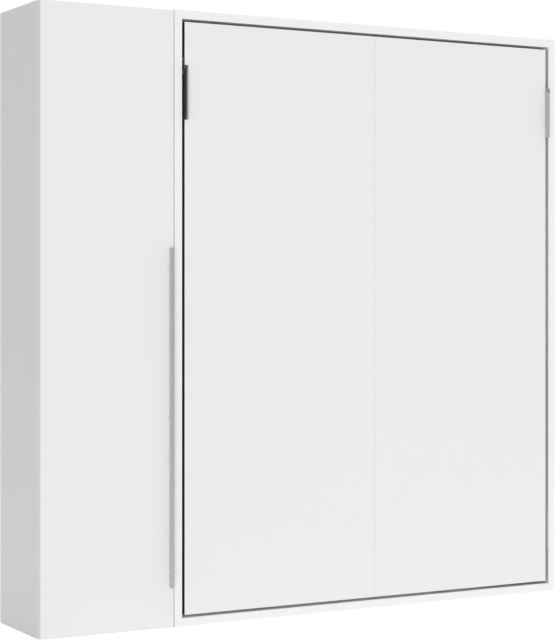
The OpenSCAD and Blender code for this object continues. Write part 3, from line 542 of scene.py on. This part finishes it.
def dress_cad_nodes():
    """Gives every CAD node its own finish, or its slot's."""
    for part in frame["record"]["subparts"]:
        own = [finish for finish, names in OWN_FINISH.items() if part["node"] in names]
        for slot in nodes[part["node"]].material_slots:
            slot.material = own[0] if own else finishes[part["material_slot"]]


# ---------------------------------------------------------------- what repeats, by geometry nodes

def start_tree(name, sizes):
    """A geometry tree with the input Points, named sizes, and a Finish."""
    tree = bpy.data.node_groups.new(name, "GeometryNodeTree")
    tree.interface.new_socket("Points", in_out="INPUT", socket_type="NodeSocketGeometry")
    for label, default in sizes.items():
        kind = "NodeSocketInt" if isinstance(default, int) else FLOAT
        tree.interface.new_socket(label, in_out="INPUT", socket_type=kind).default_value = default
    tree.interface.new_socket("Finish", in_out="INPUT", socket_type="NodeSocketMaterial")
    tree.interface.new_socket("Geometry", in_out="OUTPUT", socket_type="NodeSocketGeometry")
    return tree, tree.nodes.new("NodeGroupInput").outputs


def end_tree(tree, given, shape):
    """Puts the shape on every point, turned to its facing and by a seeded turn, and makes it real."""
    facing = add(tree, "GeometryNodeInputNamedAttribute", {"data_type": "FLOAT_VECTOR"}, Name="facing")
    lean = add(tree, "FunctionNodeAlignRotationToVector", {"axis": "Z"}, Vector=facing.outputs[0])
    turn = add(tree, "FunctionNodeRandomValue", {"data_type": "FLOAT"})
    put(tree, turn, "Seed", given["Turn Seed"])
    angle = next(socket for socket in turn.outputs if socket.enabled)
    low, high = [socket for socket in turn.inputs if socket.enabled and socket.name in ("Min", "Max")]
    low.default_value, high.default_value = 0.0, math.tau
    spin = add(tree, "FunctionNodeAxisAngleToRotation", Axis=(0, 0, 1), Angle=angle)
    both = add(tree, "FunctionNodeRotateRotation", {"rotation_space": "LOCAL"}, Rotation=lean.outputs[0],
               Rotate_By=spin.outputs[0])
    placed = add(tree, "GeometryNodeInstanceOnPoints", Points=given["Points"], Instance=shape,
                 Rotation=both.outputs[0])
    real = add(tree, "GeometryNodeRealizeInstances", Geometry=placed.outputs[0])
    painted = add(tree, "GeometryNodeSetMaterial", Geometry=real.outputs[0], Material=given["Finish"])
    out = tree.nodes.new("NodeGroupOutput")
    tree.links.new(painted.outputs[0], out.inputs["Geometry"])
    return tree


def joined(tree, *shapes):
    """Several shapes as one."""
    join = add(tree, "GeometryNodeJoinGeometry")
    for shape in shapes:
        tree.links.new(shape, join.inputs[0])
    return join.outputs[0]


def round_slab(tree, foot, top, low, height, sides):
    """A short round piece between two radii, from low upwards."""
    cone = add(tree, "GeometryNodeMeshCone", {"fill_type": "NGON"}, Vertices=sides, Radius_Bottom=foot,
               Radius_Top=top, Depth=height)
    lift = add(tree, "ShaderNodeCombineXYZ", Z=low).outputs[0]
    return add(tree, "GeometryNodeTransform", Geometry=cone.outputs[0], Translation=lift).outputs[0]


def make_screw_heads():
    """A domed head with a cross recess."""
    tree, given = start_tree("screw_heads", {"Head Diameter": 0.008, "Head Height": 0.0018,
                                             "Recess Length": 0.0042, "Recess Width": 0.0011,
                                             "Recess Depth": 0.001, "Turn Seed": 3})
    sides = 20
    radius = reckon(tree, "MULTIPLY", given["Head Diameter"], 0.5)
    half_height = reckon(tree, "MULTIPLY", given["Head Height"], 0.5)
    shoulder, crown = [reckon(tree, "MULTIPLY", radius, share) for share in (0.92, 0.62)]
    head = joined(tree, round_slab(tree, radius, shoulder, 0.0, half_height, sides),
                  round_slab(tree, shoulder, crown, half_height, half_height, sides))
    deep = reckon(tree, "MULTIPLY", given["Recess Depth"], 2.0)
    rise = add(tree, "ShaderNodeCombineXYZ", Z=given["Head Height"]).outputs[0]
    cut = add(tree, "GeometryNodeMeshBoolean", {"operation": "DIFFERENCE", "solver": "EXACT"})
    tree.links.new(head, cut.inputs[0])
    for length, width in (("Recess Length", "Recess Width"), ("Recess Width", "Recess Length")):
        size = add(tree, "ShaderNodeCombineXYZ", X=given[length], Y=given[width], Z=deep)
        bar = add(tree, "GeometryNodeMeshCube", Size=size.outputs[0])
        raised = add(tree, "GeometryNodeTransform", Geometry=bar.outputs[0], Translation=rise)
        tree.links.new(raised.outputs[0], cut.inputs[1])
    put(tree, cut, "Self Intersection", True)
    return end_tree(tree, given, cut.outputs[0])


def make_cover_caps():
    """A low round cover with a raised middle."""
    tree, given = start_tree("cover_caps", {"Cap Diameter": 0.018, "Cap Height": 0.0008, "Turn Seed": 5})
    sides = 28
    radius = reckon(tree, "MULTIPLY", given["Cap Diameter"], 0.5)
    height = given["Cap Height"]
    rim_top, foot, top = [reckon(tree, "MULTIPLY", radius, share) for share in (0.94, 0.6, 0.54)]
    rise = reckon(tree, "MULTIPLY", height, 0.4)
    cap = joined(tree, round_slab(tree, radius, rim_top, 0.0, height, sides),
                 round_slab(tree, foot, top, height, rise, sides))
    return end_tree(tree, given, cap)


screw_heads = make_screw_heads()
cover_caps = make_cover_caps()


def settle(name, mesh, body, finish):
    """A finished mesh as a piece of a body."""
    piece = bpy.data.objects.new(name, mesh)
    scene.collection.objects.link(piece)
    if not mesh.materials:
        mesh.materials.append(finish)
    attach(piece, body)
    return piece


def scatter(name, tree, places, body, finish, slot, **sizes):
    """The tree's shape on every (place, facing), as one plain mesh."""
    points = bpy.data.meshes.new(name + "_points")
    points.from_pydata([place for place, _ in places], [], [])
    facing = points.attributes.new("facing", "FLOAT_VECTOR", "POINT")
    facing.data.foreach_set("vector", [value for _, way in places for value in way])
    maker = bpy.data.objects.new(name + "_points", points)
    modifier = maker.modifiers.new("made", "NODES")
    modifier.node_group = tree
    sizes["Finish"] = finish
    for item in tree.interface.items_tree:
        if item.in_out == "INPUT" and item.name.replace(" ", "_") in sizes:
            modifier[item.identifier] = sizes[item.name.replace(" ", "_")]
    scene.collection.objects.link(maker)
    depsgraph = bpy.context.evaluated_depsgraph_get()
    mesh = bpy.data.meshes.new_from_object(maker.evaluated_get(depsgraph), depsgraph=depsgraph)
    bpy.data.objects.remove(maker)
    return settle(name, mesh, body, finish)


# ---------------------------------------------------------------- fasteners

SCREW_INSET = 16*MM


def corners(solid, x, facing, inset=SCREW_INSET):
    """A screw in each corner of an upright plate."""
    return [(Vector((x, y, z)), facing) for y in (solid.low.y + inset, solid.high.y - inset)
            for z in (solid.low.z + inset, solid.high.z - inset)]


def arm_plate_screws():
    """A zigzag down each arm plate, and three in its heel, by (from its front, from its foot)."""
    first, pitch, count, columns = 30*MM, 45*MM, 7, (13*MM, 36*MM)
    heel = [(33*MM, 20*MM), (64*MM, 16*MM), (96*MM, 78*MM)]
    places = []
    for plate in solids("arm_plates"):
        highest = plate.high.z - plate.low.z - first
        spots = [(columns[step % 2], highest - step*pitch) for step in range(count)]
        places += [(Vector((plate.outer_x, plate.low.y + y, plate.low.z + z)), plate.outward)
                   for y, z in spots + heel]
    return places


def angle_screws():
    """Two in each leg of every angle bracket."""
    thick, from_corner = 3*MM, 26*MM
    places = []
    for angle in solids("angle_brackets"):
        for z in (angle.low.z + SCREW_INSET, angle.high.z - SCREW_INSET):
            inward = -angle.outward
            corner = Vector((angle.outer_x, angle.low.y, z))
            places.append((corner + inward*from_corner + TO_BACK*thick, TO_BACK))
            places.append((corner + inward*thick + TO_BACK*from_corner, inward))
    return places


def leg_bracket_screws():
    """One near each end of every leg bracket."""
    from_back, from_foot, from_head = 11*MM, 8*MM, 11*MM
    places = []
    for bracket in solids("leg_brackets"):
        y = bracket.high.y - from_back
        places += [(Vector((bracket.outer_x, y, z)), bracket.outward)
                   for z in (bracket.low.z + from_foot, bracket.high.z - from_head)]
    return places


def bed_screws():
    places = arm_plate_screws() + angle_screws() + leg_bracket_screws()
    scatter("bed_screws", screw_heads, places, "bed", zinc, "zinc_metal")


def holder_rivets():
    """One in the rail's side of every slat holder."""
    from_middle = 4*MM
    places = []
    for holder in solids("slat_holders"):
        back = Vector((holder.middle.x, holder.high.y, holder.middle.z))
        places.append((back + holder.outward*from_middle, TO_BACK))
    scatter("holder_rivets", cover_caps, places, "bed", zinc, "zinc_metal",
            Cap_Diameter=0.009, Cap_Height=0.0012)


def hinge_plate_screws():
    """Two fix each mounting plate, and one adjusts the arm."""
    plate_thick, beside_arm, from_back, from_front = 5*MM, 14.5*MM, 26*MM, 19*MM
    places = []
    for hinge in solids("hinge_arms"):
        y = hinge.high.y - from_back
        places += [(Vector((hinge.low.x + plate_thick, y, hinge.middle.z + side*beside_arm)), TO_RIGHT)
                   for side in (-1, 1)]
        places.append((Vector((hinge.high.x, hinge.low.y + from_front, hinge.middle.z)), TO_RIGHT))
    return places


SHEET_INSET = 12*MM              # from a hinge sheet's long edge to its row of screws


def hinge_row(node, z, count=7):
    """A row along one sheet of the desk's long hinge."""
    sheet_thick, end = 1.2*MM, 24*MM
    low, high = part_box(node)
    pitch = (high.y - low.y - 2*end)/(count - 1)
    return [(Vector((low.x + sheet_thick, low.y + end + step*pitch, z)), TO_RIGHT) for step in range(count)]


def cabinet_screws():
    """In the hinge plates, pivot plates, strut anchors, desk hinge and catch."""
    anchor_inset, from_catch_middle = 12*MM, 14*MM
    places = hinge_plate_screws()
    for plate in solids("pivot_plates"):
        places += corners(plate, plate.inner_x, -plate.outward)
        places += [(Vector((plate.inner_x, plate.middle.y, z)), -plate.outward)
                   for z in (plate.low.z + SCREW_INSET, plate.high.z - SCREW_INSET)]
        for anchor in solids("strut_anchors"):
            if anchor.outward == plate.outward:
                places += corners(anchor, plate.inner_x, -plate.outward, anchor_inset)
    places += hinge_row("desk_hinge_fixed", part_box("desk_hinge_fixed")[0].z + SHEET_INSET)
    for catch in solids("desk_catch"):
        places += [(Vector((catch.high.x, catch.middle.y + side*from_catch_middle, catch.middle.z)), TO_RIGHT)
                   for side in (-1, 1)]
    scatter("cabinet_screws", screw_heads, places, "cabinet", zinc, "zinc_metal")


def door_screws():
    """Two flush screws in the flange of each hinge cup."""
    from_middle = 24*MM
    places = [(Vector((cup.middle.x, cup.high.y, cup.middle.z + side*from_middle)), TO_BACK)
              for cup in solids("hinge_cups") for side in (-1, 1)]
    scatter("door_screws", screw_heads, places, "door", zinc, "zinc_metal",
            Head_Diameter=0.0065, Head_Height=0.0008, Recess_Depth=0.0005, Recess_Length=0.0035)


def desk_screws():
    """A row in the hinge's moving sheet, and one in each ear of the leg's saddles."""
    ear_thick, from_middle = 2.5*MM, 18*MM
    places = hinge_row("desk_hinge_moving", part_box("desk_hinge_moving")[1].z - SHEET_INSET)
    for saddle in solids("desk_leg_saddles"):
        places += [(Vector((saddle.low.x + ear_thick, saddle.middle.y, saddle.middle.z + side*from_middle)),
                    TO_RIGHT) for side in (-1, 1)]
    scatter("desk_screws", screw_heads, places, "desk", zinc, "zinc_metal", Head_Diameter=0.007)


def joint_caps():
    """Covers over the fittings that join the boards of both cabinets."""
    from_front, from_back = 70*MM, 71*MM
    places = []
    for node, facing, from_side in (("frame_base", UP, 41*MM), ("frame_top", DOWN, 41*MM),
                                    ("closet_base", UP, 34*MM), ("closet_top", DOWN, 34*MM),
                                    ("fixed_shelf", DOWN, 34*MM)):
        low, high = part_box(node)
        z = high.z if facing is UP else low.z
        places += [(Vector((x, y, z)), facing) for x in (low.x + from_side, high.x - from_side)
                   for y in (low.y + from_front, high.y - from_back)]
    scatter("joint_caps", cover_caps, places, "cabinet", white_cap, "white_board")


# ---------------------------------------------------------------- turned pieces

def circle(radius, height, count):
    """Points round the upright axis."""
    return [Vector((radius*math.cos(math.tau*step/count), radius*math.sin(math.tau*step/count), height))
            for step in range(count)]


def turned(name, outline, places, body, finish, sides=40):
    """A ring of the closed (radius, height) outline, in mm, round the axis at every (place, facing)."""
    shape = bmesh.new()
    for place, way in places:
        lean = way.to_track_quat("Z", "Y").to_matrix().to_4x4()
        stand = Matrix.Translation(place) @ lean
        rows = [[shape.verts.new(stand @ (MM*point)) for point in circle(radius, height, sides)]
                for radius, height in outline]
        for row, after in zip(rows, rows[1:] + rows[:1]):
            for step in range(sides):
                ahead = (step + 1) % sides
                shape.faces.new((row[step], row[ahead], after[ahead], after[step]))
    bmesh.ops.recalc_face_normals(shape, faces=shape.faces)
    mesh = bpy.data.meshes.new(name)
    shape.to_mesh(mesh)
    shape.free()
    return settle(name, mesh, body, finish)


def ring(inner, outer, height, ease):
    """The outline of a flat ring with eased rims, in mm."""
    return [(inner, 0), (outer, 0), (outer, height - ease), (outer - ease, height), (inner + ease, height),
            (inner, height - ease)]


CLIP_HEIGHT = 1.2
HOOP_COLLAR = ring(8.1, 14, 4, 1)
GLAND_RING = ring(6.4, 13.4, 3, 0.8)
ROD_FERRULE = ring(6.1, 9, 12, 1)
STUD_CLIP = ring(5, 8, CLIP_HEIGHT, 0.2)


def hoop_collars():
    """Where the hoop's feet enter the foot rail."""
    low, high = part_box("mattress_hoop")
    radius = (high.z - low.z)/2
    rail_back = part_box("foot_rail")[1].y
    places = [(Vector((x, rail_back, low.z + radius)), TO_BACK) for x in (low.x + radius, high.x - radius)]
    turned("hoop_collars", HOOP_COLLAR, places, "bed", black_plastic)


def strut_fittings():
    """A gland ring, a hexagon above the rod's eye, and a clip on the end of each stud."""
    eye, clip_inset = 24*MM, 2*CLIP_HEIGHT*MM
    clips = []
    for name in ("left", "right"):
        cylinder, = solids(f"strut_cylinder_{name}")
        rod, = solids(f"strut_rod_{name}")
        stud, = solids(f"strut_stud_{name}")
        axis = rod.middle
        turned(f"gland_ring_{name}", GLAND_RING, [(Vector((axis.x, axis.y, cylinder.low.z)), DOWN)],
               f"{name}_cylinder", black_plastic)
        turned(f"rod_ferrule_{name}", ROD_FERRULE, [(Vector((axis.x, axis.y, rod.low.z + eye - MM)), UP)],
               f"{name}_rod", zinc, sides=6)
        end = Vector((stud.outer_x, stud.middle.y, stud.middle.z))
        turned(f"rod_clip_{name}", STUD_CLIP, [(end - stud.outward*clip_inset, stud.outward)],
               f"{name}_rod", zinc, sides=28)
        anchor, = [solid for solid in solids("strut_anchors") if solid.outward == stud.outward]
        tip = Vector((anchor.inner_x, anchor.middle.y, anchor.middle.z))
        clips.append((tip + stud.outward*clip_inset, -stud.outward))
    turned("anchor_clips", STUD_CLIP, clips, "cabinet", zinc, sides=28)


# ---------------------------------------------------------------- floor and light

FLOOR_RADIUS = 9.0
FLOOR_FADE = 4.0                 # how far from the middle the fading starts
FLOOR_SIDES = 96
FLOOR_GLOW = 0.45                # what the camera alone sees, so that the pale floor reads as white
UNDER_UNIT_PAINTED_LIGHT = 0.3                 # painted light under the unit, lifting the shade below the door
AMBIENT = 0.44
LAMP_DISTANCE = 4
LIGHTS = (                       # name, way toward the lamp, strength, spread in degrees
    ("key", (-0.46, -0.9, -0.12), 1.33, 36),
    ("fill", (0.6, -0.8, 0.1), 0.5, 170),
    ("top", (0.1, -0.3, 1.0), 0.5, 60),
    ("back", (0.5, 0.8, 0.4), 0.6, 50),
)


def make_floor():
    """A pale disc that fades into the white surroundings, and keeps none of the low lights off the unit."""
    mesh = bpy.data.meshes.new("floor")
    mesh.from_pydata(circle(FLOOR_RADIUS, 0.0, FLOOR_SIDES), [], [tuple(range(FLOOR_SIDES))])
    floor = bpy.data.objects.new("floor", mesh)
    floor.visible_shadow = False
    scene.collection.objects.link(floor)
    material = bpy.data.materials.new("pale_floor")
    material.use_nodes = True
    tree = material.node_tree
    shader = tree.nodes["Principled BSDF"]
    put(tree, shader, "Base Color", grey(0.9))
    put(tree, shader, "Roughness", 0.75)
    put(tree, shader, "Specular IOR Level", 0.2)
    seen = tree.nodes.new("ShaderNodeLightPath").outputs["Is Camera Ray"]
    place = add(tree, "ShaderNodeTexCoord").outputs["Object"]
    # painted light: within the unit's footprint the floor glows brighter for the camera, lifting the shade
    # below the door
    from_middle = reckon_vector(tree, "ABSOLUTE",
                                reckon_vector(tree, "SUBTRACT", place, (door_low + base_high)/2))
    room = reckon_vector(tree, "SUBTRACT", (base_high - door_low)/2, from_middle)
    sides = add(tree, "ShaderNodeSeparateXYZ", Vector=room).outputs
    painted_light_area = reckon(tree, "MULTIPLY", reckon(tree, "GREATER_THAN", sides[0], 0.0),
                   reckon(tree, "GREATER_THAN", sides[1], 0.0))
    glow = reckon(tree, "ADD", reckon(tree, "MULTIPLY", painted_light_area, UNDER_UNIT_PAINTED_LIGHT), FLOOR_GLOW)
    put(tree, shader, "Emission Color", grey(1))
    put(tree, shader, "Emission Strength", reckon(tree, "MULTIPLY", seen, glow))
    fade = add(tree, "ShaderNodeMapRange", Value=reckon_vector(tree, "LENGTH", place, result=1),
               From_Min=FLOOR_FADE, From_Max=FLOOR_RADIUS)
    clear = tree.nodes.new("ShaderNodeBsdfTransparent")
    mix = tree.nodes.new("ShaderNodeMixShader")
    put(tree, mix, 0, fade.outputs[0])
    put(tree, mix, 1, shader.outputs[0])
    put(tree, mix, 2, clear.outputs[0])
    tree.links.new(mix.outputs[0], tree.nodes["Material Output"].inputs[0])
    mesh.materials.append(material)


def make_world():
    """White surroundings: pure white to the eye, softer as light."""
    world = bpy.data.worlds.new("studio")
    world.use_nodes = True
    scene.world = world
    tree = world.node_tree
    light = tree.nodes["Background"]
    put(tree, light, "Color", grey(1))
    put(tree, light, "Strength", AMBIENT)
    seen = add(tree, "ShaderNodeBackground", Color=grey(1), Strength=1.0)
    path = tree.nodes.new("ShaderNodeLightPath")
    mix = tree.nodes.new("ShaderNodeMixShader")
    put(tree, mix, 0, path.outputs["Is Camera Ray"])
    put(tree, mix, 1, light.outputs[0])
    put(tree, mix, 2, seen.outputs[0])
    tree.links.new(mix.outputs[0], tree.nodes["World Output"].inputs[0])


def far_light(name, toward_lamp, strength, spread):
    """A broad, distant softbox: as even on one end of the unit as on the other."""
    data = bpy.data.lights.new(name, "SUN")
    data.energy = strength
    data.angle = math.radians(spread)
    lamp = bpy.data.objects.new(name, data)
    lamp.location = Vector(toward_lamp)*LAMP_DISTANCE
    lamp.rotation_euler = Vector(toward_lamp).to_track_quat("Z", "Y").to_euler()
    scene.collection.objects.link(lamp)


# ---------------------------------------------------------------- the scene

make_camera()
dress_cad_nodes()
bed_screws()
holder_rivets()
cabinet_screws()
door_screws()
desk_screws()
joint_caps()
hoop_collars()
strut_fittings()
make_floor()
make_world()
for light in LIGHTS:
    far_light(*light)
